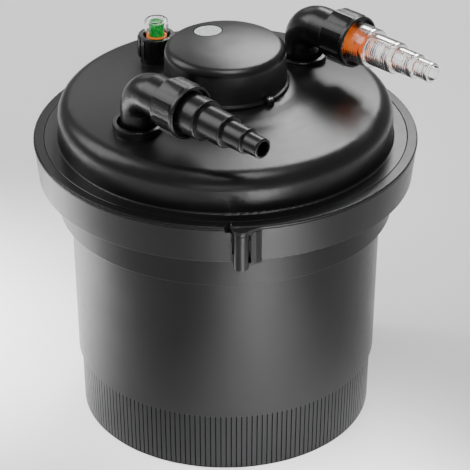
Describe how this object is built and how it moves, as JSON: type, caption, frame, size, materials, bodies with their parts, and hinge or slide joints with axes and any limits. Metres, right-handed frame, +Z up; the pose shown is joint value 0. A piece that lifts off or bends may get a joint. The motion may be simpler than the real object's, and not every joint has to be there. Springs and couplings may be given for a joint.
{
  "type": "pressurized pond filter",
  "caption": "Round pressurized pond filter with ribbed canister, domed lid, hinged clamp ring, swivelling stepped hose elbows, cleaning indicator and removable ultraviolet head.",
  "frame": {"origin": "centre of the flat base face", "axes": "+Z up through the filter axis, -Y towards the latch side, +X towards the side the hose tails point to"},
  "size_m": [0.3957, 0.4146, 0.4175],
  "materials": {
    "body_plastic": "satin moulded polypropylene",
    "lid_plastic": "semi-gloss moulded plastic",
    "fitting_plastic": "semi-gloss moulded plastic",
    "grey_plastic": "matte",
    "media_plastic": "matte",
    "black_rubber": "matte",
    "orange_rubber": "satin silicone",
    "green_plastic": "gloss",
    "clear_plastic": "clear moulded plastic",
    "frosted_window": "frosted translucent plastic",
    "quartz": "polished",
    "lamp_glass": "polished",
    "white_ceramic": "glazed",
    "stainless": "brushed",
    "ballast_metal": "painted",
    "blue_foam": "open-cell foam",
    "red_foam": "open-cell foam",
    "pale_foam": "open-cell foam"
  },
  "bodies": {
    "tank": {"canister": "body_plastic", "lid_gasket": "black_rubber", "clamp_hinge_pin": "stainless", "flow_tube": "grey_plastic", "support_grid": "grey_plastic", "hold_down_grid": "grey_plastic", "bio_balls": "media_plastic", "coarse_foam": "blue_foam", "medium_foam": "red_foam", "fine_foam": "pale_foam"},
    "lid": {"lid": "lid_plastic", "quartz_sleeve": "quartz", "sleeve_seal": "black_rubber", "sleeve_nut": "grey_plastic", "indicator_spring": "stainless"},
    "clamp_left": {"clamp_half_left": "body_plastic"},
    "clamp_right": {"clamp_half_right": "body_plastic"},
    "latch": {"latch_barrel": "body_plastic", "latch_pin": "stainless"},
    "front_elbow": {"front_elbow": "fitting_plastic", "front_elbow_seal": "black_rubber", "front_elbow_clip": "grey_plastic"},
    "rear_elbow": {"rear_elbow": "fitting_plastic", "rear_elbow_seal": "black_rubber", "rear_elbow_clip": "grey_plastic"},
    "front_tail": {"front_hose_tail": "fitting_plastic", "front_tail_gasket": "black_rubber"},
    "rear_tail": {"clear_hose_tail": "clear_plastic", "orange_tail_gasket": "orange_rubber"},
    "front_nut": {"front_union_nut": "fitting_plastic"},
    "rear_nut": {"rear_union_nut": "fitting_plastic"},
    "uv_head": {"uv_cap": "lid_plastic", "uv_window": "frosted_window", "uv_holder": "grey_plastic", "uv_head_seal": "black_rubber", "ballast": "ballast_metal", "lamp_socket": "white_ceramic", "uv_lamp": "lamp_glass", "cable_gland": "fitting_plastic"},
    "uv_screw": {"uv_screw": "stainless"},
    "indicator_glass": {"sight_glass": "clear_plastic", "sight_glass_seal": "orange_rubber"},
    "indicator_nut": {"sight_glass_nut": "fitting_plastic"},
    "indicator_float": {"indicator_float": "green_plastic"}
  },
  "joints": [
    {"name": "lid_lift", "type": "slide", "parent": "tank", "child": "lid", "axis": [0, 0, 1], "range_m": [0, 0.18]},
    {"name": "clamp_left_swing", "type": "hinge", "parent": "tank", "child": "clamp_left", "pos_m": [0, 0.199, 0.283], "axis": [0, 0, 1], "range_deg": [-100, 0]},
    {"name": "clamp_right_swing", "type": "hinge", "parent": "tank", "child": "clamp_right", "pos_m": [0, 0.199, 0.283], "axis": [0, 0, 1], "range_deg": [0, 100]},
    {"name": "latch_turn", "type": "hinge", "parent": "clamp_right", "child": "latch", "pos_m": [0.0142, -0.1915, 0.28], "axis": [0, 0, 1], "range_deg": [0, 90]},
    {"name": "front_elbow_swivel", "type": "hinge", "parent": "lid", "child": "front_elbow", "pos_m": [-0.0835, -0.074, 0.34], "axis": [0, 0, 1], "range_deg": [-150, 25]},
    {"name": "rear_elbow_swivel", "type": "hinge", "parent": "lid", "child": "rear_elbow", "pos_m": [0.0765, 0.073, 0.34], "axis": [0, 0, 1], "range_deg": [-25, 150]},
    {"name": "front_tail_pull", "type": "slide", "parent": "front_elbow", "child": "front_tail", "axis": [0.6845, -0.729, 0], "range_m": [0, 0.012]},
    {"name": "front_nut_turn", "type": "hinge", "parent": "front_tail", "child": "front_nut", "pos_m": [-0.04243, -0.11774, 0.391], "axis": [0.6845, -0.729, 0], "range_deg": [0, 1080]},
    {"name": "rear_tail_pull", "type": "slide", "parent": "rear_elbow", "child": "rear_tail", "axis": [0.7145, -0.6997, 0], "range_m": [0, 0.012]},
    {"name": "rear_nut_turn", "type": "hinge", "parent": "rear_tail", "child": "rear_nut", "pos_m": [0.11937, 0.03102, 0.391], "axis": [0.7145, -0.6997, 0], "range_deg": [0, 1080]},
    {"name": "uv_head_lift", "type": "slide", "parent": "lid", "child": "uv_head", "axis": [0, 0, 1], "range_m": [0, 0.28]},
    {"name": "uv_screw_turn", "type": "hinge", "parent": "uv_head", "child": "uv_screw", "pos_m": [0.0425, -0.0485, 0.362], "axis": [0, 0, 1], "continuous": true},
    {"name": "indicator_glass_lift", "type": "slide", "parent": "lid", "child": "indicator_glass", "axis": [0, 0, 1], "range_m": [0, 0.012]},
    {"name": "indicator_nut_turn", "type": "hinge", "parent": "indicator_glass", "child": "indicator_nut", "pos_m": [-0.0685, 0.066, 0.366], "axis": [0, 0, 1], "range_deg": [0, 1080]},
    {"name": "float_travel", "type": "slide", "parent": "lid", "child": "indicator_float", "axis": [0, 0, 1], "range_m": [-0.009, 0], "stiffness_N_per_m": 30, "springref_m": 0.001, "deforming": ["indicator_spring"]}
  ],
  "couplings": [
    {"joint": "clamp_left_swing", "follows": "lid_lift", "rad_per_m": -9.69},
    {"joint": "clamp_right_swing", "follows": "lid_lift", "rad_per_m": 9.69},
    {"joint": "front_nut_turn", "follows": "front_tail_pull", "rad_per_m": 1570.8},
    {"joint": "rear_nut_turn", "follows": "rear_tail_pull", "rad_per_m": 1570.8},
    {"joint": "indicator_nut_turn", "follows": "indicator_glass_lift", "rad_per_m": 1570.8}
  ]
}
